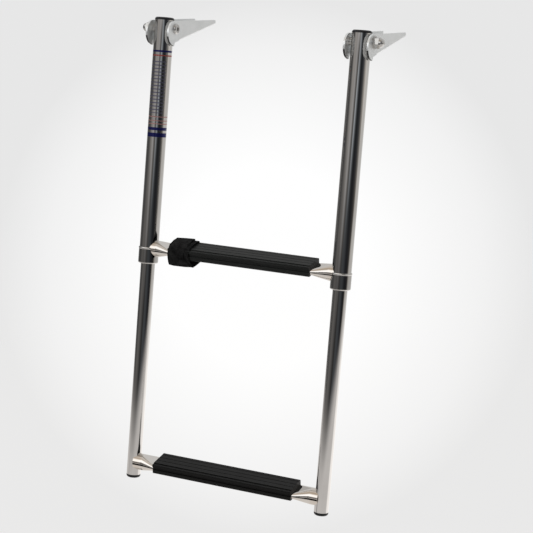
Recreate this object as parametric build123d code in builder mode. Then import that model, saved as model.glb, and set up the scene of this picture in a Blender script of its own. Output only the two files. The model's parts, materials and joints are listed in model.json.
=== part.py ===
"""Telescopic two-step boarding ladder for a boat platform.

The frame is the deck's: +Z is up, +Y runs inboard over the deck, and +X is to the right for a swimmer
who faces the boat.  The origin lies on the underside of the left bracket, halfway along its base.
"""

from build123d import *
from math import acos, atan2, cos, radians, sin, sqrt, tan
import os

os.makedirs("parts", exist_ok=True)

# Stance of the ladder
stile_spacing = 279.4
stile_lean = 15.0
pivot_height = 18.0
pivot_below_tube_top = 11.0

# Upper stiles
upper_tube_od = 25.4
upper_tube_wall = 1.2
upper_tube_length = 321.8

# Lower stiles
lower_tube_od = 19.05
lower_tube_wall = 1.2
lower_tube_length = 338.3
foot_below_rung = 18.2

# Brackets, folded from sheet
bracket_sheet = 2.4
bracket_inside_width = 29.2
bracket_tail = 118.0
bracket_tail_height = 6.2
bracket_tail_corner = 2.4
bracket_nose_radius = 15.8
bracket_nose_forward = 4.5
bracket_nose_drop = 4.7
bracket_tooth_forward = 7.0
bracket_tooth_drop = 3.6
bracket_tooth_round = 0.7
bracket_bend_radius = 3.0
web_edge_chamfer = 0.8
relief_height = 0.8
relief_front = 3.1
stop_gap = 0.4
base_screw_spacing = 50.0
base_screw_d = 5.5
base_screw_head_d = 8.3
base_screw_setback = 2.0

# Pivot fasteners
bolt_d = 8.0
bolt_hole_clearance = 0.2
bolt_head_d = 14.0
bolt_head_height = 3.6
bolt_socket_flats = 5.0
bolt_socket_depth = 2.2
washer_d = 17.0
washer_thickness = 1.4
nut_flats = 13.0
nut_hex_height = 6.5
nut_dome_d = 12.2
nut_height = 12.5
nut_bore_depth = 9.0
bolt_in_nut = 8.5
sleeve_od = 11.0
sleeve_end_gap = 0.3

# Top caps and foot plugs
cap_d = 25.8
cap_height = 3.5
cap_rounding = 3.3
cap_plug_depth = 4.0
cap_plug_wall = 1.8
foot_plug_rim = 4.4
foot_plug_depth = 12.0
foot_plug_wall = 2.0
foot_plug_rounding = 3.0

# Sliding fit between the stages
collar_length = 22.0
collar_wall = 0.65
collar_lip = 3.0
collar_lip_clearance = 0.6
collar_bead = 0.4
collar_bead_height = 2.4
collar_rounding = 1.6
bush_length = 20.0
glide_length = 22.0

# Rungs, round at the stiles and pressed flat under the treads
rung_od = 22.2
rung_wall = 1.2
rung_below_collar_top = 1.6
rung_flat_height = 7.6
rung_flat_width = 30.4
rung_press_rise = 1.5
rung_round_length = 15.0
rung_press_lead = 1.0
rung_end_inset = 5.0
lower_rung_end_inset = 3.0

# Treads, snapped over the rungs
tread_length = 203.4
tread_top = 5.4
tread_side = 2.3
tread_lip = 1.5
tread_corner = 2.2
tread_mouth = 17.0
tread_step_width = 4.6
tread_step_drop = 0.9
groove_width = 0.9
groove_depth = 0.4
groove_pitch = 8.0
groove_count = 3
front_recess_below_top = 4.8
front_recess_height = 3.6
front_recess_depth = 1.1

# Stowing strap around the left end of the upper tread
strap_width = 34.0
strap_thickness = 2.0
strap_slack_below = 4.5
strap_flap_width = 27.0
strap_flap_skew = 8.0
strap_flap_thickness = 1.6

# Clearances
running_gap = 0.3
seat_gap = 0.05
soft_gap = 0.3

# Directions and places worked out from the sizes
lean = radians(stile_lean)
up_y = sin(lean)
up_z = cos(lean)
bracket_half_width = bracket_inside_width / 2 + bracket_sheet
stop_edge_below_pivot = pivot_height - bracket_sheet + web_edge_chamfer
web_front = (upper_tube_od / 2 + stop_gap) / cos(lean) - stop_edge_below_pivot * tan(lean)
pivot_y = -(web_front + bracket_tail) / 2
base_length = bracket_tail - web_front
upper_tube_id = upper_tube_od - 2 * upper_tube_wall
lower_tube_id = lower_tube_od - 2 * lower_tube_wall
collar_bottom = upper_tube_length + collar_lip
collar_top = collar_bottom - collar_length
collar_od = upper_tube_od + 2 * (seat_gap + collar_wall)
bush_top = upper_tube_length - bush_length
lower_tube_top = bush_top - running_gap - glide_length
lower_tube_bottom = lower_tube_top + lower_tube_length
upper_rung_s = collar_top + rung_below_collar_top
lower_rung_s = lower_tube_bottom - foot_below_rung
tread_depth = rung_flat_width + 2 * (seat_gap + tread_side)
tread_height = rung_flat_height + 2 * seat_gap + tread_top + tread_lip
tread_rise = (tread_top - tread_lip) / 2
tread_start = (stile_spacing - tread_length) / 2

sides = (("left", 0.0, 1), ("right", stile_spacing, -1))


def along_stile(x, s):
    """Point on a stile's axis at the distance s below the top of its tube."""
    rise = pivot_below_tube_top - s
    return (x, pivot_y + rise * up_y, pivot_height + rise * up_z)


def cross_plane(x, s):
    """Plane square to the stile, with its normal up the stile."""
    return Plane(origin=along_stile(x, s), x_dir=(1, 0, 0), z_dir=(0, up_y, up_z))


def axial_plane(x, s):
    """Plane through the stile's axis: sketch x is across the ladder, sketch y is up the stile."""
    return Plane(origin=along_stile(x, s), x_dir=(1, 0, 0), z_dir=(0, -up_z, up_y))


def side_plane(x, y=0.0, z=0.0, facing=1):
    """Upright plane across X: sketch x is inboard when facing is 1, sketch y is up."""
    return Plane(origin=(x, y, z), x_dir=(0, facing, 0), z_dir=(facing, 0, 0))


def stile_axis(x):
    return Axis(along_stile(x, 0), (0, up_y, up_z))


def tangent_from(point, centre, radius, turn):
    """Point where a line from point touches a circle; turn is 1 for the left side, -1 for the right."""
    away_y = point[0] - centre[0]
    away_z = point[1] - centre[1]
    distance = sqrt(away_y**2 + away_z**2)
    angle = atan2(away_z, away_y) + turn * acos(radius / distance)
    return (centre[0] + radius * cos(angle), centre[1] + radius * sin(angle))


# Brackets: a folded channel whose tapered ears carry the pivot and whose web bolts down to the deck
nose = (pivot_y - bracket_nose_forward, pivot_height - bracket_nose_drop)
tail_top = (pivot_y + bracket_tail, bracket_tail_height)
tail_foot = (pivot_y + bracket_tail, 0)
tooth_tip = (pivot_y - bracket_tooth_forward, -bracket_tooth_drop)
relief_back = (pivot_y + web_front, relief_height)
relief_fore = (pivot_y - relief_front, relief_height)
ear_top_tangent = tangent_from(tail_top, nose, bracket_nose_radius, 1)
ear_front_tangent = tangent_from(tooth_tip, nose, bracket_nose_radius, -1)
blank_height = nose[1] + bracket_nose_radius + bracket_sheet
blank_reach = web_front + bracket_nose_forward + bracket_nose_radius + bracket_sheet
nose_front = (nose[0] - bracket_nose_radius * cos(lean), nose[1] + bracket_nose_radius * sin(lean))

for side, x, inward in sides:
    with BuildPart() as bracket:
        with BuildSketch(Plane(origin=(x, tail_foot[0], 0), x_dir=(1, 0, 0), z_dir=(0, -1, 0))) as channel:
            Rectangle(2 * bracket_half_width, blank_height, align=(Align.CENTER, Align.MIN))
            fillet(channel.vertices().group_by(Axis.Y)[0], bracket_bend_radius)
            with BuildSketch(mode=Mode.PRIVATE) as hollow:
                with Locations((0, bracket_sheet)):
                    Rectangle(bracket_inside_width, blank_height, align=(Align.CENTER, Align.MIN))
                fillet(hollow.vertices().group_by(Axis.Y)[0], bracket_bend_radius - bracket_sheet)
            add(hollow.sketch, mode=Mode.SUBTRACT)
        extrude(amount=base_length)
        with BuildSketch(Plane(origin=(x, relief_back[0], -bracket_tooth_drop))):
            for ear in (-1, 1):
                with Locations((ear * (bracket_half_width - bracket_sheet / 2), 0)):
                    Rectangle(bracket_sheet, blank_reach, align=(Align.CENTER, Align.MAX))
        extrude(amount=bracket_tooth_drop + blank_height)
        with BuildSketch(side_plane(x - bracket_half_width)) as profile:
            with BuildLine():
                Line(tail_foot, tail_top)
                Line(tail_top, ear_top_tangent)
                ThreePointArc(ear_top_tangent, nose_front, ear_front_tangent)
                Line(ear_front_tangent, tooth_tip)
                Line(tooth_tip, relief_fore)
                Line(relief_fore, relief_back)
                Line(relief_back, (relief_back[0], 0))
                Line((relief_back[0], 0), tail_foot)
            make_face()
            fillet(profile.vertices().sort_by_distance(tail_top)[0], bracket_tail_corner)
            fillet(profile.vertices().sort_by_distance(tooth_tip)[0], bracket_tooth_round)
        extrude(amount=2 * bracket_half_width, mode=Mode.INTERSECT)
        web_front_edge = bracket.edges().filter_by(Axis.X).sort_by_distance(
            (x, pivot_y + web_front, bracket_sheet)
        )[0]
        chamfer(web_front_edge, web_edge_chamfer)
        with BuildSketch(side_plane(x - bracket_half_width, pivot_y, pivot_height)):
            Circle(bolt_d / 2 + bolt_hole_clearance)
        extrude(amount=2 * bracket_half_width, mode=Mode.SUBTRACT)
        with Locations(Plane(origin=(x, base_screw_setback, bracket_sheet))):
            with GridLocations(0, base_screw_spacing, 1, 2):
                CounterSinkHole(base_screw_d / 2, base_screw_head_d / 2, counter_sink_angle=90)
    bracket.part.label = f"{side}_bracket"
    export_step(bracket.part, f"parts/{side}_bracket.step")

# Pivot bolts: button heads on the inner ears, acorn nuts and washers on the outer ears
for side, x, inward in sides:
    head_plane = side_plane(x + inward * bracket_half_width, pivot_y, pivot_height, inward)
    shank_length = 2 * bracket_half_width + washer_thickness + bolt_in_nut
    with BuildPart() as pivot_bolt:
        with BuildSketch(head_plane):
            Circle(bolt_head_d / 2)
        extrude(amount=bolt_head_height)
        crown = pivot_bolt.faces().filter_by(Axis.X).sort_by(Axis.X)[-1 if inward > 0 else 0]
        fillet(crown.edges(), bolt_head_height * 0.65)
        with BuildSketch(head_plane.offset(bolt_head_height)):
            RegularPolygon(bolt_socket_flats / 2, 6, major_radius=False)
        extrude(amount=-bolt_socket_depth, mode=Mode.SUBTRACT)
        with BuildSketch(head_plane):
            Circle(bolt_d / 2)
        extrude(amount=-shank_length)
    pivot_bolt.part.label = f"{side}_pivot_bolt"
    export_step(pivot_bolt.part, f"parts/{side}_pivot_bolt.step")

    outer_ear = x - inward * bracket_half_width
    with BuildPart() as nut_washer:
        with BuildSketch(side_plane(outer_ear, pivot_y, pivot_height, -inward)):
            Circle(washer_d / 2)
            Circle(bolt_d / 2 + bolt_hole_clearance, mode=Mode.SUBTRACT)
        extrude(amount=washer_thickness)
    nut_washer.part.label = f"{side}_nut_washer"
    export_step(nut_washer.part, f"parts/{side}_nut_washer.step")

    nut_plane = side_plane(outer_ear - inward * washer_thickness, pivot_y, pivot_height, -inward)
    with BuildPart() as acorn_nut:
        with BuildSketch(nut_plane):
            Circle(nut_dome_d / 2)
        extrude(amount=nut_height)
        dome = acorn_nut.faces().filter_by(Axis.X).sort_by(Axis.X)[0 if inward > 0 else -1]
        fillet(dome.edges(), min(nut_dome_d / 2, nut_height - nut_hex_height) - 0.1)
        with BuildSketch(nut_plane):
            RegularPolygon(nut_flats / 2, 6, major_radius=False)
        extrude(amount=nut_hex_height)
        with BuildSketch(nut_plane):
            Circle(bolt_d / 2 + seat_gap)
        extrude(amount=nut_bore_depth, mode=Mode.SUBTRACT)
    acorn_nut.part.label = f"{side}_acorn_nut"
    export_step(acorn_nut.part, f"parts/{side}_acorn_nut.step")

# Pivot sleeves: cross tubes welded through the stiles, which turn on the bolts
for side, x, inward in sides:
    sleeve_length = bracket_inside_width - 2 * sleeve_end_gap
    with BuildPart() as pivot_sleeve:
        with BuildSketch(side_plane(x - sleeve_length / 2, pivot_y, pivot_height)):
            Circle(sleeve_od / 2)
            Circle(bolt_d / 2 + running_gap, mode=Mode.SUBTRACT)
        extrude(amount=sleeve_length)
    pivot_sleeve.part.label = f"{side}_pivot_sleeve"
    export_step(pivot_sleeve.part, f"parts/{side}_pivot_sleeve.step")

# Upper stiles and their caps
for side, x, inward in sides:
    with BuildPart() as upper_stile:
        with BuildSketch(cross_plane(x, upper_tube_length)):
            Circle(upper_tube_od / 2)
            Circle(upper_tube_id / 2, mode=Mode.SUBTRACT)
        extrude(amount=upper_tube_length)
        with BuildSketch(side_plane(x - upper_tube_od, pivot_y, pivot_height)):
            Circle(sleeve_od / 2 + seat_gap)
        extrude(amount=2 * upper_tube_od, mode=Mode.SUBTRACT)
    upper_stile.part.label = f"{side}_upper_stile"
    export_step(upper_stile.part, f"parts/{side}_upper_stile.step")

    with BuildPart() as top_cap:
        with BuildSketch(cross_plane(x, 0)):
            Circle(cap_d / 2)
        extrude(amount=cap_height)
        fillet(top_cap.edges().filter_by(GeomType.CIRCLE).sort_by(Axis.Z)[-1], cap_rounding)
        with BuildSketch(cross_plane(x, 0)):
            Circle(upper_tube_id / 2 - seat_gap)
            Circle(upper_tube_id / 2 - seat_gap - cap_plug_wall, mode=Mode.SUBTRACT)
        extrude(amount=-cap_plug_depth)
    top_cap.part.label = f"{side}_top_cap"
    export_step(top_cap.part, f"parts/{side}_top_cap.step")

# Collars and guide bushes at the foot of the upper stiles
for side, x, inward in sides:
    collar_bore = upper_tube_od / 2 + seat_gap
    collar_edge = collar_od / 2
    lip_bore = lower_tube_od / 2 + collar_lip_clearance
    bead_edge = collar_edge + collar_bead
    with BuildPart() as collar:
        with BuildSketch(axial_plane(x, collar_bottom)):
            with BuildLine():
                Polyline(
                    (collar_bore, collar_length),
                    (collar_bore, collar_lip),
                    (lip_bore, collar_lip),
                    (lip_bore, 0),
                    (collar_edge - collar_rounding, 0),
                )
                RadiusArc(
                    (collar_edge - collar_rounding, 0),
                    (collar_edge, collar_rounding),
                    -collar_rounding,
                )
                Line((collar_edge, collar_rounding), (collar_edge, collar_length - collar_bead_height))
                ThreePointArc(
                    (collar_edge, collar_length - collar_bead_height),
                    (bead_edge, collar_length - collar_bead_height / 2),
                    (collar_edge, collar_length),
                )
                Line((collar_edge, collar_length), (collar_bore, collar_length))
            make_face()
        revolve(axis=stile_axis(x))
    collar.part.label = f"{side}_collar"
    export_step(collar.part, f"parts/{side}_collar.step")

    with BuildPart() as guide_bush:
        with BuildSketch(cross_plane(x, upper_tube_length)):
            Circle(upper_tube_id / 2 - seat_gap)
            Circle(lower_tube_od / 2 + running_gap, mode=Mode.SUBTRACT)
        extrude(amount=bush_length)
    guide_bush.part.label = f"{side}_guide_bush"
    export_step(guide_bush.part, f"parts/{side}_guide_bush.step")

# Lower stiles, the glides at their heads and the plugs in their feet
for side, x, inward in sides:
    with BuildPart() as lower_stile:
        with BuildSketch(cross_plane(x, lower_tube_bottom)):
            Circle(lower_tube_od / 2)
            Circle(lower_tube_id / 2, mode=Mode.SUBTRACT)
        extrude(amount=lower_tube_length)
    lower_stile.part.label = f"{side}_lower_stile"
    export_step(lower_stile.part, f"parts/{side}_lower_stile.step")

    with BuildPart() as top_glide:
        with BuildSketch(cross_plane(x, lower_tube_top + glide_length)):
            Circle(upper_tube_id / 2 - running_gap)
            Circle(lower_tube_od / 2 + seat_gap, mode=Mode.SUBTRACT)
        extrude(amount=glide_length)
    top_glide.part.label = f"{side}_top_glide"
    export_step(top_glide.part, f"parts/{side}_top_glide.step")

    with BuildPart() as foot_plug:
        with BuildSketch(cross_plane(x, lower_tube_bottom)):
            Circle(lower_tube_od / 2)
        extrude(amount=-foot_plug_rim)
        fillet(foot_plug.edges().filter_by(GeomType.CIRCLE).sort_by(Axis.Z)[0], foot_plug_rounding)
        with BuildSketch(cross_plane(x, lower_tube_bottom)):
            Circle(lower_tube_id / 2 - seat_gap)
            Circle(lower_tube_id / 2 - seat_gap - foot_plug_wall, mode=Mode.SUBTRACT)
        extrude(amount=foot_plug_depth)
    foot_plug.part.label = f"{side}_foot_plug"
    export_step(foot_plug.part, f"parts/{side}_foot_plug.step")

# Rungs: coped to the stiles at their round ends, pressed flat where the treads sit
rungs = (
    ("upper_rung", upper_rung_s, rung_end_inset, upper_tube_od / 2),
    ("lower_rung", lower_rung_s, lower_rung_end_inset, lower_tube_od / 2),
)
for name, rung_s, end_inset, tube_radius in rungs:
    rung_y, rung_z = along_stile(0, rung_s)[1:]
    flat_z = rung_z + rung_press_rise
    round_end = rung_round_length
    flat_start = tread_start - rung_press_lead
    flat_end = stile_spacing - flat_start
    with BuildPart() as rung:
        for inset, mode in ((0, Mode.ADD), (rung_wall, Mode.SUBTRACT)):
            round_size = rung_od - 2 * inset
            flat_width = rung_flat_width - 2 * inset
            flat_height = rung_flat_height - 2 * inset
            with BuildSketch(side_plane(end_inset, rung_y, rung_z)):
                RectangleRounded(round_size, round_size, round_size / 2 - 0.1)
            extrude(amount=round_end - end_inset, mode=mode)
            with BuildSketch(side_plane(round_end, rung_y, rung_z)):
                RectangleRounded(round_size, round_size, round_size / 2 - 0.1)
            with BuildSketch(side_plane(flat_start, rung_y, flat_z)):
                RectangleRounded(flat_width, flat_height, flat_height / 2 - 0.1)
            loft(mode=mode)
            with BuildSketch(side_plane(flat_start, rung_y, flat_z)):
                RectangleRounded(flat_width, flat_height, flat_height / 2 - 0.1)
            extrude(amount=flat_end - flat_start, mode=mode)
            with BuildSketch(side_plane(flat_end, rung_y, flat_z)):
                RectangleRounded(flat_width, flat_height, flat_height / 2 - 0.1)
            with BuildSketch(side_plane(stile_spacing - round_end, rung_y, rung_z)):
                RectangleRounded(round_size, round_size, round_size / 2 - 0.1)
            loft(mode=mode)
            with BuildSketch(side_plane(stile_spacing - round_end, rung_y, rung_z)):
                RectangleRounded(round_size, round_size, round_size / 2 - 0.1)
            extrude(amount=round_end - end_inset, mode=mode)
        for x in (0.0, stile_spacing):
            with BuildSketch(cross_plane(x, rung_s + 2 * rung_od)):
                Circle(tube_radius + seat_gap)
            extrude(amount=4 * rung_od, mode=Mode.SUBTRACT)
            if name == "upper_rung":
                with BuildSketch(cross_plane(x, collar_top - seat_gap)):
                    Circle(collar_od / 2 + collar_bead + seat_gap)
                extrude(amount=-2 * rung_od, mode=Mode.SUBTRACT)
    rung.part.label = name
    export_step(rung.part, f"parts/{name}.step")

# Treads: grooved covers with a lowered front strip, open below to snap over the pressed rungs
for name, rung_s in (("upper_tread", upper_rung_s), ("lower_tread", lower_rung_s)):
    rung_y, rung_z = along_stile(0, rung_s)[1:]
    with BuildPart() as tread:
        with BuildSketch(side_plane(tread_start, rung_y, rung_z + rung_press_rise + tread_rise)):
            RectangleRounded(tread_depth, tread_height, tread_corner)
            top_edge = tread_height / 2
            front_edge = -tread_depth / 2
            with Locations((0, -tread_rise)):
                RectangleRounded(
                    rung_flat_width + 2 * seat_gap,
                    rung_flat_height + 2 * seat_gap,
                    rung_flat_height / 2 - 0.1,
                    mode=Mode.SUBTRACT,
                )
            with Locations((0, -tread_height / 2)):
                Rectangle(tread_mouth, 2 * tread_lip + seat_gap, mode=Mode.SUBTRACT)
            with Locations((front_edge, top_edge)):
                Rectangle(2 * tread_step_width, 2 * tread_step_drop, mode=Mode.SUBTRACT)
            first_groove = front_edge + tread_step_width + groove_pitch
            for i in range(groove_count):
                with Locations((first_groove + i * groove_pitch, top_edge)):
                    Rectangle(groove_width, 2 * groove_depth, mode=Mode.SUBTRACT)
            with Locations((front_edge, top_edge - front_recess_below_top)):
                Rectangle(
                    2 * front_recess_depth,
                    front_recess_height,
                    align=(Align.CENTER, Align.MAX),
                    mode=Mode.SUBTRACT,
                )
        extrude(amount=tread_length)
    tread.part.label = name
    export_step(tread.part, f"parts/{name}.step")

# Stowing strap: turns of webbing around the tread, slack below it, and a skewed flap over the top
upper_rung_y, upper_rung_z = along_stile(0, upper_rung_s)[1:]
upper_tread_z = upper_rung_z + rung_press_rise + tread_rise
strap_inner_depth = tread_depth + 2 * soft_gap
strap_inner_height = tread_height + 2 * soft_gap
strap_outer_depth = strap_inner_depth + 2 * strap_thickness
strap_outer_top = strap_inner_height / 2 + strap_thickness
strap_outer_height = strap_inner_height + 2 * strap_thickness + strap_slack_below
strap_corner = tread_corner + soft_gap
with BuildPart() as stowing_strap:
    with BuildSketch(side_plane(tread_start, upper_rung_y, upper_tread_z)):
        with Locations((0, strap_outer_top - strap_outer_height / 2)):
            RectangleRounded(strap_outer_depth, strap_outer_height, strap_corner + strap_thickness)
        RectangleRounded(strap_inner_depth, strap_inner_height, strap_corner, mode=Mode.SUBTRACT)
    extrude(amount=strap_width)
    flap_middle = tread_start + strap_width / 2
    with BuildSketch(Plane(origin=(flap_middle, upper_rung_y, upper_tread_z + strap_outer_top))):
        half_flap = strap_flap_width / 2
        half_top = strap_outer_depth / 2 - strap_corner - strap_thickness
        with BuildLine():
            Polyline(
                (-half_flap, -half_top),
                (half_flap - strap_flap_skew, -half_top),
                (half_flap, half_top),
                (-half_flap, half_top),
                close=True,
            )
        make_face()
    extrude(amount=strap_flap_thickness)
stowing_strap.part.label = "stowing_strap"
export_step(stowing_strap.part, "parts/stowing_strap.step")

slide_travel = (lower_rung_s - rung_od / 2) - collar_bottom - 5.0
print("pivot", pivot_y, pivot_height, "web front", web_front, "base length", base_length)
print("slide travel", slide_travel, "lower tube bottom", lower_tube_bottom)
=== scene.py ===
import json
from math import cos, pi, radians, sin

import bmesh
import bpy
from mathutils import Matrix, Vector


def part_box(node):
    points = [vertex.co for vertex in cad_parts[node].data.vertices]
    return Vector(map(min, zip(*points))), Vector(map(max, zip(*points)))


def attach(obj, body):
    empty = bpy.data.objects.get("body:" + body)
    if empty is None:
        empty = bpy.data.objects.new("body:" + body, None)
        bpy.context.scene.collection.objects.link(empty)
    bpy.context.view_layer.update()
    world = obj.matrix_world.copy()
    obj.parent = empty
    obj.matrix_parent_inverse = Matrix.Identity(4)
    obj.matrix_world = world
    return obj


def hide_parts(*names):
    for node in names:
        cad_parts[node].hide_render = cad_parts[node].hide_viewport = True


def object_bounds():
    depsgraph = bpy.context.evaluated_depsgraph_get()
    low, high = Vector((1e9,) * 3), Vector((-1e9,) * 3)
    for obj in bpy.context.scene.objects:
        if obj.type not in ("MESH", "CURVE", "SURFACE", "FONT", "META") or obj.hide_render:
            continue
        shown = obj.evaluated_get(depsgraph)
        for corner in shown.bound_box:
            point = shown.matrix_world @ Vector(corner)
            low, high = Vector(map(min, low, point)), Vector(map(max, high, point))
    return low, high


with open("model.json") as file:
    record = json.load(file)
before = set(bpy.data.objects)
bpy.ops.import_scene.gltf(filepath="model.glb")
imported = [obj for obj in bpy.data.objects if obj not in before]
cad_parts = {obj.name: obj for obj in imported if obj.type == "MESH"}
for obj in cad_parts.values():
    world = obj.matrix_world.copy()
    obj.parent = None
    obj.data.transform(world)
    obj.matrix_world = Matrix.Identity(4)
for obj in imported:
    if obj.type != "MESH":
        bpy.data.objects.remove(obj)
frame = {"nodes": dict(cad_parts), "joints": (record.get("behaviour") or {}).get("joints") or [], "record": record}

cad_low, cad_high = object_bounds()
nodes = frame["nodes"]
scene = bpy.context.scene
scene.view_settings.view_transform = "Standard"

# Directions and places read from the frame, in metres
swing = next(j for j in frame["joints"] if j["name"] == "ladder_swing")
slide = next(j for j in frame["joints"] if j["name"] == "lower_stage_slide")
pivot = Vector(swing["pos_m"])
across = Vector((1, 0, 0))
stile_up = Vector(slide["axis"]).normalized()
stile_back = stile_up.cross(across)
to_stile = Matrix((across, stile_back, stile_up))
PIVOT_BELOW_TOP = 0.011
STILE_LEAN = radians(15.0)
HALF_SPACING = pivot.x
tube_top_middle = pivot + stile_up * PIVOT_BELOW_TOP


def on_ladder(x, back, rise):
    """Point measured from the middle of the tube tops: across, away from the water, up the stiles."""
    return tube_top_middle + across * x + stile_back * back + stile_up * rise


# Camera, fitted to the edges of the tubes
CAMERA_YAW = 23.6
CAMERA_PITCH = 7.4
CAMERA_ROLL = 4.52
CAMERA_PLACE = (0.811, -1.7765, -0.0564)
FOCAL_PIXELS = 1500.0
IMAGE_PIXELS = 533.0
SENSOR = 36.0


def make_camera():
    """Adds the camera and returns its place and the direction in which it looks."""
    yaw, pitch, roll = radians(CAMERA_YAW), radians(CAMERA_PITCH), radians(CAMERA_ROLL)
    ahead = Vector((-sin(yaw) * cos(pitch), cos(yaw) * cos(pitch), -sin(pitch)))
    level = Vector((cos(yaw), sin(yaw), 0))
    over = level.cross(ahead)
    right = level * cos(roll) + over * sin(roll)
    above = over * cos(roll) - level * sin(roll)
    to_world = to_stile.transposed()
    axes = Matrix((to_world @ right, to_world @ above, to_world @ -ahead)).transposed()
    data = bpy.data.cameras.new("front_camera")
    data.sensor_width = SENSOR
    data.lens = FOCAL_PIXELS * SENSOR / IMAGE_PIXELS
    data.clip_start = 0.05
    data.clip_end = 60.0
    camera = bpy.data.objects.new("front_camera", data)
    camera.matrix_world = Matrix.Translation(on_ladder(*CAMERA_PLACE)) @ axes.to_4x4()
    scene.collection.objects.link(camera)
    scene.camera = camera
    return on_ladder(*CAMERA_PLACE), to_world @ ahead


camera_place, camera_ahead = make_camera()


# Shaders
class Value:
    """A socket that takes part in arithmetic: each operator adds a Math node."""

    def __init__(self, shader, socket):
        self.shader = shader
        self.socket = socket

    def __add__(self, other):
        return self.shader.maths("ADD", self, other)

    __radd__ = __add__

    def __sub__(self, other):
        return self.shader.maths("SUBTRACT", self, other)

    def __rsub__(self, other):
        return self.shader.maths("SUBTRACT", other, self)

    def __mul__(self, other):
        return self.shader.maths("MULTIPLY", self, other)

    __rmul__ = __mul__

    def __truediv__(self, other):
        return self.shader.maths("DIVIDE", self, other)

    def __rtruediv__(self, other):
        return self.shader.maths("DIVIDE", other, self)

    def __abs__(self):
        return self.shader.maths("ABSOLUTE", self)

    def __neg__(self):
        return self.shader.maths("MULTIPLY", self, -1.0)


class Shader:
    """A node tree that is filled from scratch."""

    def __init__(self, tree):
        tree.nodes.clear()
        self.tree = tree

    def add(self, kind, settings=None, *values, sockets=None, output=0):
        """Adds a node, makes its settings, fills its sockets and returns one of its outputs."""
        node = self.tree.nodes.new(kind)
        for name, setting in (settings or {}).items():
            if name == "stops":
                elements = node.color_ramp.elements
                while len(elements) < len(setting):
                    elements.new(0.5)
                for element, (place, colour) in zip(elements, setting):
                    element.position = place
                    element.color = colour if isinstance(colour, tuple) else (colour, colour, colour, 1)
            else:
                setattr(node, name, setting)
        for key, value in [*enumerate(values), *(sockets or {}).items()]:
            socket = node.inputs[key]
            if isinstance(value, Value):
                self.tree.links.new(value.socket, socket)
            elif value is not None:
                socket.default_value = value
        return Value(self, node.outputs[output]) if node.outputs else None

    def maths(self, operation, *values):
        return self.add("ShaderNodeMath", {"operation": operation}, *values)

    def vector(self, operation, *values, sockets=None, output=0):
        return self.add("ShaderNodeVectorMath", {"operation": operation}, *values, sockets=sockets,
                        output=output)

    def dot(self, vector, direction):
        return self.vector("DOT_PRODUCT", vector, tuple(direction), output="Value")

    def length(self, vector):
        return self.vector("LENGTH", vector, output="Value")

    def mix(self, factor, low, high):
        """Mixes two colours."""
        colours = {0: factor, 6: low, 7: high}
        return self.add("ShaderNodeMix", {"data_type": "RGBA"}, sockets=colours, output=2)

    def step(self, value, low, high):
        """Rises smoothly from 0 at low to 1 at high."""
        return self.add("ShaderNodeMapRange", {"interpolation_type": "SMOOTHSTEP"}, value, low, high)

    def band(self, value, low, high, soft):
        """1 between low and high, with edges that reach the width soft to either side."""
        return self.step(value, low - soft, low + soft) * (1 - self.step(value, high - soft, high + soft))

    def ramp(self, value, stops):
        return self.add("ShaderNodeValToRGB", {"stops": stops}, value)

    def noise(self, place, scale, detail=3.0, roughness=0.55):
        """Noise whose scale is a number, or one for each axis."""
        if isinstance(scale, tuple):
            place = self.vector("MULTIPLY", place, scale)
            scale = 1.0
        sockets = {"Vector": place, "Scale": scale, "Detail": detail, "Roughness": roughness}
        return self.add("ShaderNodeTexNoise", sockets=sockets)

    def bump(self, strength, distance, height):
        """A normal that follows height, whose step of 1 is distance in metres."""
        sockets = {"Strength": strength, "Distance": distance, "Height": height}
        return self.add("ShaderNodeBump", sockets=sockets)

    def place(self):
        return self.add("ShaderNodeTexCoord", output="Object")

    def stile_place(self):
        """Place with Z up the stiles and the origin in the middle of the tube tops."""
        origin = tuple(-(to_stile @ tube_top_middle))
        return self.add("ShaderNodeMapping", None, self.place(), origin, (STILE_LEAN, 0, 0))

    def axes(self, place):
        return [self.add("ShaderNodeSeparateXYZ", None, place, output=i) for i in range(3)]

    def seen_by_camera(self):
        """1 for what the camera sees directly, 0 for reflections and light."""
        return self.add("ShaderNodeLightPath", output="Is Camera Ray")


def rgb(red, green, blue):
    return (red, green, blue, 1.0)


def finish_material(name, build):
    """A material whose surface gets the values that build(shader) returns, by the names of its sockets."""
    material = bpy.data.materials.new(name)
    material.use_nodes = True
    shader = Shader(material.node_tree)
    surface = shader.add("ShaderNodeBsdfPrincipled", sockets=build(shader))
    shader.add("ShaderNodeOutputMaterial", sockets={"Surface": surface})
    return material


def steel_values(shader, place, grain, tint, roughness, smear_size=26.0, waviness=0.0):
    """Stainless steel: hairlines along the grain, faint smears and small changes of tone."""
    hair = shader.noise(place, grain, 2.0)
    smear = shader.noise(place, smear_size, 3.0)
    tone = shader.step(smear * 0.7 + hair * 0.3, 0.3, 0.72)
    dull = tuple(channel * 0.9 for channel in tint[:3]) + (1.0,)
    return {
        "Base Color": shader.mix(tone, dull, tint),
        "Metallic": 1.0,
        "Roughness": roughness + (hair - 0.5) * 0.02 + (smear - 0.5) * 0.02,
        "Normal": shader.bump(0.12, 0.00002, hair * 0.35 + smear * waviness),
    }


# Grain of each kind of steel, as noise scales for the three axes: a small one is the way of the hairlines
ALONG_STILE = (1500.0, 1500.0, 14.0)
ALONG_RUNG = (16.0, 1300.0, 1300.0)
ALONG_BRACKET = (1300.0, 22.0, 900.0)
TURNED = (60.0, 400.0, 400.0)
EVEN = (900.0, 900.0, 900.0)

TUBE_TINT = rgb(0.70, 0.685, 0.665)
COLLAR_TINT = rgb(0.58, 0.57, 0.555)
RUNG_TINT = rgb(0.72, 0.69, 0.655)
BRACKET_TINT = rgb(0.82, 0.845, 0.855)
BOLT_TINT = rgb(0.52, 0.515, 0.505)

# How far from the stile's axis the warmth of the weld starts to show on a rung, and where it is full
HEAT_START = 0.017
HEAT_FULL = 0.010


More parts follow.
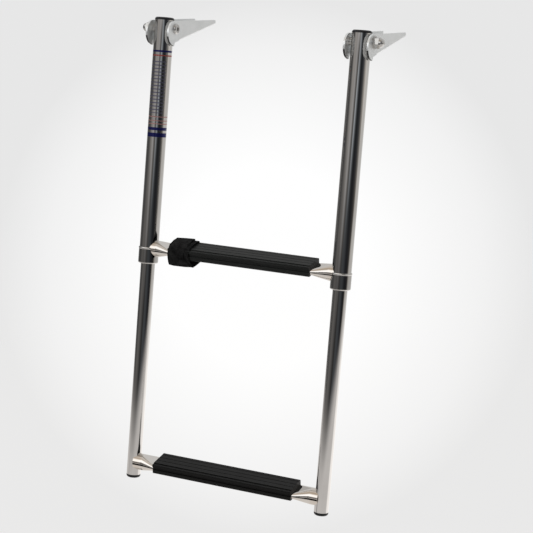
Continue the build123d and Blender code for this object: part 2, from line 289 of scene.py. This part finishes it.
def tube_steel(shader):
    return steel_values(shader, shader.stile_place(), ALONG_STILE, TUBE_TINT, 0.016, 24.0, 0.3)


def collar_steel(shader):
    return steel_values(shader, shader.stile_place(), EVEN, COLLAR_TINT, 0.03)


def rung_steel(shader):
    """Steel that the weld has warmed in tone where the rung meets the stiles."""
    place = shader.place()
    values = steel_values(shader, place, ALONG_RUNG, RUNG_TINT, 0.035, 34.0, 0.3)
    from_middle = abs(shader.axes(place)[0] - HALF_SPACING)
    heat = shader.step(from_middle, HALF_SPACING - HEAT_START, HALF_SPACING - HEAT_FULL)
    values["Base Color"] = shader.mix(heat * 0.25, values["Base Color"], rgb(0.60, 0.50, 0.40))
    return values


# Side view of a bracket, in metres along Y and Z: the nose, and the straight edge from there to the tooth
NOSE_MIDDLE = (-0.0680839, 0.0133)
NOSE_RADIUS = 0.0158
TOOTH_EDGE_SQUARE = (-0.5115, -0.8594)
TOOTH_EDGE_REACH = 0.0392
TOOTH_EDGE_TOP = -0.0003
# Where the painted dark reflection on the cut edge ends at the back, how far in from the edge it reaches, and how
# softly it fades
DARK_REFLECTION_BACK_END = -0.0705
DARK_REFLECTION_DEPTH = 0.0003
DARK_REFLECTION_SOFTNESS = 0.0002


def bracket_steel(shader):
    """Satin sheet, with a painted dark reflection on its cut edge under the nose and on to the tooth."""
    place = shader.place()
    values = steel_values(shader, place, ALONG_BRACKET, BRACKET_TINT, 0.34, 40.0)
    y, z = shader.axes(place)[1:]
    back, up = y - NOSE_MIDDLE[0], z - NOSE_MIDDLE[1]
    from_nose = shader.maths("SQRT", back * back + up * up)
    from_tooth = y * TOOTH_EDGE_SQUARE[0] + z * TOOTH_EDGE_SQUARE[1]
    above_tooth = shader.step(z, TOOTH_EDGE_TOP - DARK_REFLECTION_SOFTNESS, TOOTH_EDGE_TOP)
    below_tooth = 1 - shader.step(z, TOOTH_EDGE_TOP, TOOTH_EDGE_TOP + DARK_REFLECTION_SOFTNESS)
    inner_radius = NOSE_RADIUS - DARK_REFLECTION_DEPTH
    inner_reach = TOOTH_EDGE_REACH - DARK_REFLECTION_DEPTH
    round_edge_dark_reflection = shader.step(from_nose, inner_radius, inner_radius + DARK_REFLECTION_SOFTNESS)
    round_edge_dark_reflection = round_edge_dark_reflection * (1 - shader.step(up, -0.002, 0.0)) * above_tooth
    straight_edge_dark_reflection = shader.step(from_tooth, inner_reach, inner_reach + DARK_REFLECTION_SOFTNESS) * below_tooth
    painted_dark_reflection = shader.maths("MAXIMUM", round_edge_dark_reflection, straight_edge_dark_reflection)
    painted_dark_reflection = painted_dark_reflection * (1 - shader.step(y, DARK_REFLECTION_BACK_END - 0.001, DARK_REFLECTION_BACK_END))
    # Painted dark reflection: the cut edge under the nose and on to the tooth is painted near black
    values["Base Color"] = shader.mix(painted_dark_reflection, values["Base Color"], rgb(0.03, 0.03, 0.03))
    values["Metallic"] = 0.6
    return values


def bolt_steel(shader):
    return steel_values(shader, shader.place(), TURNED, BOLT_TINT, 0.035)


# Decal on the left stile: plain bands, each from one distance below the tube top to another, in metres
BLUE_INK = rgb(0.015, 0.017, 0.12)
RED_INK = rgb(0.40, 0.10, 0.09)
FADED_RED_INK = rgb(0.52, 0.28, 0.27)
WIDE_BANDS = (
    (0.0399, 0.0425, BLUE_INK),
    (0.0460, 0.0478, RED_INK),
    (0.1270, 0.1282, FADED_RED_INK),
    (0.1322, 0.1334, FADED_RED_INK),
    (0.1364, 0.1376, FADED_RED_INK),
    (0.1417, 0.1456, BLUE_INK),
    (0.1490, 0.1545, BLUE_INK),
)
BAND_SOFTNESS = 0.0001

# Fine bands below the first wide ones. They stop short of the tube's right side: from its axis they reach
# PRINT_END in the direction of PRINT_SIDE, given across and back
FINE_BANDS_START = 0.0530
FINE_BANDS_END = 0.1230
FINE_BAND_PITCH = 0.0045
PRINT_SIDE = (0.88, 0.47)
PRINT_END = 0.0055
BARE_START = 0.0068


def banded_tube_steel(shader):
    """Tube steel with plain printed bands round it."""
    values = tube_steel(shader)
    x, back, rise = shader.axes(shader.stile_place())
    depth = -rise
    sideways = (x + HALF_SPACING) * PRINT_SIDE[0] + back * PRINT_SIDE[1]
    ripple = shader.maths("PINGPONG", depth - FINE_BANDS_START, FINE_BAND_PITCH / 2)
    ink = shader.step(ripple, FINE_BAND_PITCH * 0.30, FINE_BAND_PITCH * 0.36)
    ink = ink * shader.band(depth, FINE_BANDS_START, FINE_BANDS_END, BAND_SOFTNESS)
    ink = ink * (1 - shader.step(sideways, PRINT_END, BARE_START)) * 0.75
    colour = shader.mix(ink, values["Base Color"], BLUE_INK)
    for top, bottom, tint in WIDE_BANDS:
        inside = shader.band(depth, top, bottom, BAND_SOFTNESS)
        colour = shader.mix(inside, colour, tint)
        ink = shader.maths("MAXIMUM", ink, inside)
    values["Base Color"] = colour
    values["Metallic"] = 1 - ink * 0.4
    values["Roughness"] = values["Roughness"] + ink * 0.12
    return values


def moulded_black(shader):
    """Black plastic with a fine moulded grain and a little dust."""
    place = shader.place()
    grain = shader.noise(place, 2600.0, 2.0)
    dust = shader.step(shader.noise(place, 160.0, 4.0), 0.5, 0.8)
    return {
        "Base Color": shader.mix(dust * 0.5, rgb(0.006, 0.0065, 0.008), rgb(0.022, 0.023, 0.026)),
        "Roughness": 0.42 + (grain - 0.5) * 0.12 + dust * 0.12,
        "Specular IOR Level": 0.3,
        "Normal": shader.bump(0.25, 0.00003, grain),
    }


def slide_nylon(shader):
    """Black nylon, smeared along the way it slides."""
    rubbed = shader.noise(shader.stile_place(), (700.0, 700.0, 25.0), 3.0)
    tone = shader.step(rubbed, 0.35, 0.7)
    return {
        "Base Color": shader.mix(tone, rgb(0.018, 0.018, 0.019), rgb(0.06, 0.06, 0.062)),
        "Roughness": 0.38 + (rubbed - 0.5) * 0.15,
        "Normal": shader.bump(0.2, 0.00003, rubbed),
    }


# Heights between which the treads go from plain near black, at the lower one, to the chalky tone, at the upper
# one: painted shade on the lower tread, which lies in the upper one's shadow
FULL_PAINTED_SHADE_BELOW = -0.50
NO_PAINTED_SHADE_ABOVE = -0.32


def tread_black(shader):
    """Extruded black tread: lines along its length, a chalky bloom, and painted shade that makes the lower tread
    darker.
    """
    place = shader.place()
    lines = shader.noise(place, (7.0, 1100.0, 1100.0), 2.0)
    bloom = shader.noise(place, (60.0, 180.0, 180.0), 4.0)
    speck = shader.step(shader.noise(place, 900.0, 2.0), 0.68, 0.78)
    chalk = shader.step(bloom * 0.6 + lines * 0.4, 0.35, 0.75)
    chalky = shader.mix(chalk, rgb(0.007, 0.0078, 0.0076), rgb(0.014, 0.0155, 0.015))
    # Painted shade: the lower tread is painted near black, where it lies in the upper tread's shadow
    clear_of_painted_shade = shader.step(shader.axes(place)[2], FULL_PAINTED_SHADE_BELOW, NO_PAINTED_SHADE_ABOVE)
    colour = shader.mix(clear_of_painted_shade, rgb(0.002, 0.002, 0.002), chalky)
    return {
        "Base Color": shader.mix(speck * 0.25, colour, rgb(0.05, 0.05, 0.05)),
        "Roughness": 0.50 + (lines - 0.5) * 0.14 + chalk * 0.08,
        "Specular IOR Level": 0.20,
        "Normal": shader.bump(0.25, 0.00005, lines + speck * 0.3),
    }


WEBBING_RIB_PITCH = 0.0016


def strap_webbing(shader):
    """Black webbing: ribs across the strap, tiny tufts between them."""
    place = shader.place()
    ribs = shader.maths("SINE", shader.axes(place)[0] * (2 * pi / WEBBING_RIB_PITCH))
    tufts = shader.noise(place, 2200.0, 3.0, 0.7)
    worn = shader.noise(place, 140.0, 3.0)
    tone = shader.step(tufts * 0.35 + worn * 0.65, 0.36, 0.66)
    return {
        "Base Color": shader.mix(tone, rgb(0.003, 0.003, 0.0032), rgb(0.017, 0.0172, 0.0174)),
        "Roughness": 0.86 + (tufts - 0.5) * 0.2,
        "Specular IOR Level": 0.08,
        "Normal": shader.bump(0.7, 0.00025, ribs * 0.25 + tufts),
    }


FINISHES = {
    "tube_steel": tube_steel,
    "collar_steel": collar_steel,
    "rung_steel": rung_steel,
    "bracket_steel": bracket_steel,
    "bolt_steel": bolt_steel,
    "cap_plastic": moulded_black,
    "slide_plastic": slide_nylon,
    "tread_plastic": tread_black,
    "strap_webbing": strap_webbing,
}
materials = {slot: finish_material(slot, build) for slot, build in FINISHES.items()}
banded_tube = finish_material("banded_tube_steel", banded_tube_steel)

for subpart in frame["record"]["subparts"]:
    node = nodes[subpart["node"]]
    finish = materials[subpart["material_slot"]]
    if subpart["node"] == "left_upper_stile":
        finish = banded_tube
    node.data.materials.clear()
    node.data.materials.append(finish)


# Stowing strap: two turns of webbing round the upper tread, wound askew and slack below it. Sizes are in
# metres, RIPPLE_RATE in radians a metre and DEEPEST_DROP in heights of the tread
WEBBING_WIDTH = 0.0265
WEBBING_THICKNESS = 0.0011
CORNER_ROUNDING = 0.0048
TOP_ARCH = 0.0014
EDGE_BULGE = 0.0009
RIPPLE_HEIGHT = 0.0002
RIPPLE_RATE = 420.0
DEEPEST_DROP = 1.1


def long_edges(shape):
    """Edges of the sleeve that run along the rung."""
    return [e for e in shape.edges if abs(e.verts[0].co.x - e.verts[1].co.x) > WEBBING_WIDTH / 2]


def round_off(shape, edges, radius, segments):
    bmesh.ops.bevel(shape, geom=edges, offset=radius, segments=segments, profile=0.5, affect="EDGES",
                    material=-1)


def make_webbing_turn(name, clearance, start, skew, rounding, lift, sag_left, sag_right, waist, flare):
    """One turn of webbing: a sleeve with round corners that bulges over the tread and hangs below it.

    start is the distance of its left edge from the tread's left end, clearance is how far it keeps off
    the tread, and rounding is the radius of its top corner in front. skew moves its back to the right,
    and lift raises its top there, most of all at the right edge. It hangs lower by sag_left and
    sag_right at its two edges. waist draws its right side in, and flare lets it out again further down.
    """
    low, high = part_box("upper_tread")
    centre = Vector((low.x + start + WEBBING_WIDTH / 2, (low.y + high.y) / 2, (low.z + high.z) / 2))
    depth = high.y - low.y
    height = high.z - low.z
    size = (WEBBING_WIDTH, depth + 2 * clearance, height + 2 * clearance)
    shape = bmesh.new()
    bmesh.ops.create_cube(shape, size=1.0)
    bmesh.ops.scale(shape, verts=shape.verts, vec=size)
    front_top = [e for e in long_edges(shape) if e.verts[0].co.y < 0 and e.verts[0].co.z > 0]
    round_off(shape, front_top, rounding, 12)
    sharp = [e for e in long_edges(shape) if e.calc_face_angle() > 1.0]
    round_off(shape, sharp, CORNER_ROUNDING, 8)
    ends = [f for f in shape.faces if abs(f.normal.x) > 0.9]
    bmesh.ops.delete(shape, geom=ends, context="FACES_ONLY")
    bmesh.ops.subdivide_edges(shape, edges=shape.edges[:], cuts=3, use_grid_fill=True)
    for vertex in shape.verts:
        # along goes from 0 to 1 across the webbing, inward from front to back and drop from top to bottom
        place = vertex.co
        along = place.x / WEBBING_WIDTH + 0.5
        inward = place.y / depth + 0.5
        drop = min(max(0.5 - place.z / height, 0.0), DEEPEST_DROP)
        arch = sin(pi * min(max(inward, 0.0), 1.0))
        sag = (sag_left + (sag_right - sag_left) * along) * (1 - 0.12 * (2 * along - 1) ** 8)
        place.x += skew * inward + flare * (along * drop) ** 2
        place.x -= (waist * along + EDGE_BULGE * (1 - along)) * sin(pi * min(drop, 1.0))
        top = 1 - min(drop, 1.0)
        place.z += (TOP_ARCH * arch + lift * along * inward) * top - sag * drop ** 1.5 * (0.9 + 0.1 * arch)
        place.z += RIPPLE_HEIGHT * sin(place.y * RIPPLE_RATE + along * 3)
    bmesh.ops.translate(shape, verts=shape.verts, vec=centre)
    mesh = bpy.data.meshes.new(name)
    bmesh.ops.recalc_face_normals(shape, faces=shape.faces)
    for face in shape.faces:
        face.smooth = True
    shape.to_mesh(mesh)
    shape.free()
    turn = bpy.data.objects.new(name, mesh)
    scene.collection.objects.link(turn)
    wall = turn.modifiers.new("webbing_wall", "SOLIDIFY")
    wall.thickness = WEBBING_THICKNESS
    wall.offset = -1.0
    selvedge = turn.modifiers.new("selvedge", "BEVEL")
    selvedge.width = 0.0004
    selvedge.segments = 2
    mesh.materials.append(materials["strap_webbing"])
    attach(turn, "upper_frame")
    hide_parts("stowing_strap")


make_webbing_turn("strap_first_turn", clearance=0.0013, start=0.0054, skew=-0.0014, rounding=0.0070,
                  lift=0.0009, sag_left=0.0040, sag_right=0.0095, waist=0.0010, flare=0.0030)
make_webbing_turn("strap_second_turn", clearance=0.0025, start=0.0010, skew=-0.0040, rounding=0.0105,
                  lift=0.0018, sag_left=0.0076, sag_right=0.0074, waist=0.0050, flare=0.0050)


# Studio: what polished steel and plastic see. Each list goes round it, by degrees turned to the right from
# the camera's side, and says how light it is there. Panels behind and to the left come first, low and high.
LOW_PANELS = (
    (-180, 0.75), (-160, 0.28), (-125, 0.09), (-108, 0.07), (-95, 0.09), (-80, 0.145), (-66, 0.14),
    (-50, 0.11), (-36, 0.065), (-22, 0.035), (0, 0.045), (24, 0.03), (34, 0.035), (44, 0.08),
    (54, 0.18), (64, 0.31), (78, 0.50), (92, 0.60), (112, 0.60), (135, 0.68), (180, 0.75),
)
HIGH_PANELS = (
    (-180, 0.75), (-155, 0.16), (-125, 0.06), (-104, 0.09), (-90, 0.23), (-80, 0.38), (-66, 0.37),
    (-54, 0.33), (-44, 0.42), (-35, 0.31), (-25, 0.12), (-15, 0.11), (-6, 0.20), (86, 0.58),
    (112, 0.60), (135, 0.68), (180, 0.75),
)

# Panels in front and to the right, which lean: FRONT_SLANT is the part of a whole turn that a step of 1
# upward shifts them to the left
FRONT_LOW_PANELS = (
    (-180, 0.06), (-2, 0.065), (14, 0.07), (24, 0.05), (32, 0.022), (42, 0.022), (50, 0.04),
    (55, 0.06), (60, 0.14), (65, 0.28), (69, 0.48), (73, 0.64), (80, 0.70), (112, 0.64),
    (135, 0.68), (180, 0.75),
)
FRONT_HIGH_PANELS = (
    (-180, 0.12), (-2, 0.17), (7, 0.30), (14, 0.58), (21, 0.32), (29, 0.12), (36, 0.028),
    (45, 0.025), (50, 0.04), (55, 0.06), (60, 0.14), (65, 0.28), (69, 0.48), (73, 0.64),
    (80, 0.70), (112, 0.64), (135, 0.68), (180, 0.75),
)
FRONT_SLANT = 0.278
FRONT_SIDES = (-12.6, 115.2)
FRONT_SOFTNESS = 0.015

# Colour of the light that all these panels give
PANEL_TINT = (
    (-180, rgb(1.0, 0.985, 0.97)), (-105, rgb(1.0, 0.99, 0.99)), (-75, rgb(1.0, 0.96, 0.925)),
    (-55, rgb(1.0, 0.96, 0.93)), (-42, rgb(1.0, 0.98, 0.99)), (-24, rgb(1.0, 0.96, 0.93)),
    (-10, rgb(0.94, 1.0, 1.07)), (10, rgb(0.92, 1.0, 1.10)), (40, rgb(0.94, 0.98, 1.12)),
    (56, rgb(1.0, 0.97, 0.94)), (70, rgb(1.0, 0.945, 0.88)), (95, rgb(1.0, 0.98, 0.95)),
    (180, rgb(1.0, 0.985, 0.97)),
)

# Panels above all these, brightest to the left, and the warm ceiling over them
UPPER_PANELS = (
    (-180, 0.75), (-125, 0.70), (-105, 1.0), (-80, 1.55), (-30, 1.55), (-5, 1.1), (12, 0.30),
    (40, 0.22), (62, 0.45), (90, 0.72), (180, 0.75),
)
CEILING = (
    (-180, rgb(0.76, 0.74, 0.72)), (-110, rgb(0.74, 0.70, 0.66)), (-80, rgb(0.60, 0.51, 0.42)),
    (-20, rgb(0.54, 0.47, 0.39)), (40, rgb(0.48, 0.43, 0.38)), (90, rgb(0.68, 0.66, 0.63)),
    (180, rgb(0.74, 0.73, 0.71)),
)

# Table below the ladder, with a dark gap under the left panels and a lit part to the right. It meets the
# panels at a tilted plane. TABLE_SQUARE is square to that: toward the camera's side, to the right and up
TABLE = (
    (-180, 0.90), (-150, 0.66), (-110, 0.70), (-60, 0.68), (40, 0.66), (60, 0.68), (104, 0.70),
    (118, 0.78), (130, 0.92), (150, 0.98), (180, 0.90),
)
TABLE_TINT = (1.0, 0.967, 0.945)
TABLE_SQUARE = (-0.2119, 0.0774, 0.9742)
TABLE_GAP_SIDES = (-84.6, -5.4)
TABLE_GAP_HEIGHTS = (-0.40, -0.13)
TABLE_GAP_SOFTNESS = (0.02, 0.03)
TABLE_LIT_SIDE = (45.0, 84.96)
GAP_TONE = rgb(0.0, 0.0, 0.0)
STRAIGHT_BELOW_TONE = rgb(0.82, 0.81, 0.79)
LIT_TONE = rgb(1.22, 1.22, 1.22)

# Where one thing in the studio gives way to the next, from the one height to the other. A height is the
# upward part of a direction, -1 straight down and 1 straight up. TABLE_TO_PANELS is along TABLE_SQUARE
LOW_TO_HIGH = (0.08, 0.21)
FRONT_LOW_TO_HIGH = (0.12, 0.26)
FRONT_FOOT = (-0.21, -0.11)
HIGH_TO_UPPER = (0.27, 0.34)
UPPER_TO_CEILING = (0.62, 0.84)
TABLE_TO_PANELS = (-0.240, -0.170)
STRAIGHT_BELOW_TO_TABLE = (-0.60, -0.50)
LIT_TO_TABLE = (-0.38, -0.28)

# Backdrop that only the camera sees, by the distance from the middle of the view at one metre ahead
BACKDROP = ((0.0, 1.0), (0.067, 1.0), (0.116, 0.93), (0.145, 0.885), (0.180, 0.80), (1.0, 0.80))


def part_of_turn(degrees):
    """0 at the start of the lists above, 1 at their end."""
    return (degrees + 180) / 360


def backdrop_tone(shader, direction):
    """White round the camera's line of sight, greying gently away from it."""
    ahead = shader.maths("MAXIMUM", shader.dot(direction, camera_ahead), 0.05)
    flat = shader.vector("SCALE", direction, sockets={"Scale": 1 / ahead})
    return shader.ramp(shader.length(shader.vector("SUBTRACT", flat, tuple(camera_ahead))), BACKDROP)


def make_world():
    """Draws the studio by direction, and the backdrop in its place for what the camera sees directly."""
    world = bpy.data.worlds.new("studio")
    scene.world = world
    world.use_nodes = True
    shader = Shader(world.node_tree)
    direction = shader.add("ShaderNodeTexCoord", output="Generated")
    front = shader.dot(direction, Vector((-camera_ahead.x, -camera_ahead.y, 0)).normalized())
    right = shader.dot(direction, Vector((camera_ahead.y, -camera_ahead.x, 0)).normalized())
    rise = shader.axes(direction)[2]
    turn = shader.maths("ARCTAN2", right, front) / (2 * pi) + 0.5
    slant = turn + rise * FRONT_SLANT

    def all_round(where, panels):
        return shader.ramp(where, tuple((part_of_turn(degrees), tone) for degrees, tone in panels))

    def between(sides, soft):
        return shader.band(turn, part_of_turn(sides[0]), part_of_turn(sides[1]), soft)

    light = shader.mix(shader.step(rise, *LOW_TO_HIGH), all_round(turn, LOW_PANELS),
                       all_round(turn, HIGH_PANELS))
    leaning = shader.mix(shader.step(rise, *FRONT_LOW_TO_HIGH), all_round(slant, FRONT_LOW_PANELS),
                         all_round(slant, FRONT_HIGH_PANELS))
    ahead = between(FRONT_SIDES, FRONT_SOFTNESS) * shader.step(rise, *FRONT_FOOT)
    light = shader.mix(ahead, light, leaning)
    light = shader.vector("MULTIPLY", light, all_round(turn, PANEL_TINT))
    light = shader.mix(shader.step(rise, *HIGH_TO_UPPER), light, all_round(turn, UPPER_PANELS))
    light = shader.mix(shader.step(rise, *UPPER_TO_CEILING), light, all_round(turn, CEILING))

    gap_height = shader.band(rise, *TABLE_GAP_HEIGHTS, TABLE_GAP_SOFTNESS[1])
    gap = between(TABLE_GAP_SIDES, TABLE_GAP_SOFTNESS[0]) * gap_height
    table = shader.mix(gap, all_round(turn, TABLE), GAP_TONE)
    table = shader.mix(1 - shader.step(rise, *STRAIGHT_BELOW_TO_TABLE), table, STRAIGHT_BELOW_TONE)
    lit_side = shader.step(turn, part_of_turn(TABLE_LIT_SIDE[0]), part_of_turn(TABLE_LIT_SIDE[1]))
    lit = (1 - shader.step(rise, *LIT_TO_TABLE)) * lit_side
    table = shader.mix(lit, table, LIT_TONE)
    height = front * TABLE_SQUARE[0] + right * TABLE_SQUARE[1] + rise * TABLE_SQUARE[2]
    below = 1 - shader.step(height, *TABLE_TO_PANELS)
    light = shader.mix(below, light, shader.vector("MULTIPLY", table, TABLE_TINT))

    colour = shader.mix(shader.seen_by_camera(), light, backdrop_tone(shader, direction))
    background = shader.add("ShaderNodeBackground", None, colour, 1.0)
    shader.add("ShaderNodeOutputWorld", None, background)


make_world()


# Floor: a pale disc below the ladder, which fades into the backdrop at its rim
FLOOR_DROP = 0.35
FLOOR_RADIUS = 2.2
FLOOR_SHADE = 0.12
FLOOR_GLOW = 1.045


def make_floor():
    """Adds the disc: it glows with the tone of the backdrop and takes a little of the ladder's shadow."""
    mesh = bpy.data.meshes.new("floor")
    shape = bmesh.new()
    bmesh.ops.create_circle(shape, cap_ends=True, segments=96, radius=FLOOR_RADIUS)
    centre = Vector((HALF_SPACING, pivot.y, cad_low.z - FLOOR_DROP))
    bmesh.ops.translate(shape, verts=shape.verts, vec=centre)
    shape.to_mesh(mesh)
    shape.free()
    floor = bpy.data.objects.new("floor", mesh)
    scene.collection.objects.link(floor)
    material = bpy.data.materials.new("pale_floor")
    material.use_nodes = True
    shader = Shader(material.node_tree)
    place = shader.place()
    tone = backdrop_tone(shader, shader.vector("SUBTRACT", place, tuple(camera_place)))
    from_centre = shader.length(shader.vector("SUBTRACT", place, tuple(centre)))
    rim = shader.step(from_centre, FLOOR_RADIUS * 0.45, FLOOR_RADIUS * 0.95)
    paint = shader.add("ShaderNodeBsdfDiffuse", None, rgb(0.86, 0.86, 0.86))
    glow = shader.add("ShaderNodeEmission", None, tone, FLOOR_GLOW)
    glowing = shader.seen_by_camera() * (1 - FLOOR_SHADE)
    surface = shader.add("ShaderNodeMixShader", None, glowing, paint, glow)
    clear = shader.add("ShaderNodeBsdfTransparent")
    surface = shader.add("ShaderNodeMixShader", None, rim, surface, clear)
    shader.add("ShaderNodeOutputMaterial", sockets={"Surface": surface})
    mesh.materials.append(material)
    floor.visible_glossy = False


make_floor()


# Soft light from above on the left, aimed at the middle of the ladder
SOFTBOX_PLACE = Vector((-1.2, -1.6, 1.6))
SOFTBOX_TARGET = Vector((HALF_SPACING, pivot.y - 0.08, -0.28))
SOFTBOX_SIZE = 1.6
SOFTBOX_WATTS = 14.0


def make_softbox():
    data = bpy.data.lights.new("key_softbox", "AREA")
    data.shape = "SQUARE"
    data.size = SOFTBOX_SIZE
    data.energy = SOFTBOX_WATTS
    lamp = bpy.data.objects.new("key_softbox", data)
    facing = (SOFTBOX_TARGET - SOFTBOX_PLACE).to_track_quat("-Z", "Y").to_matrix().to_4x4()
    lamp.matrix_world = Matrix.Translation(SOFTBOX_PLACE) @ facing
    lamp.visible_camera = False
    lamp.visible_glossy = False
    scene.collection.objects.link(lamp)


make_softbox()
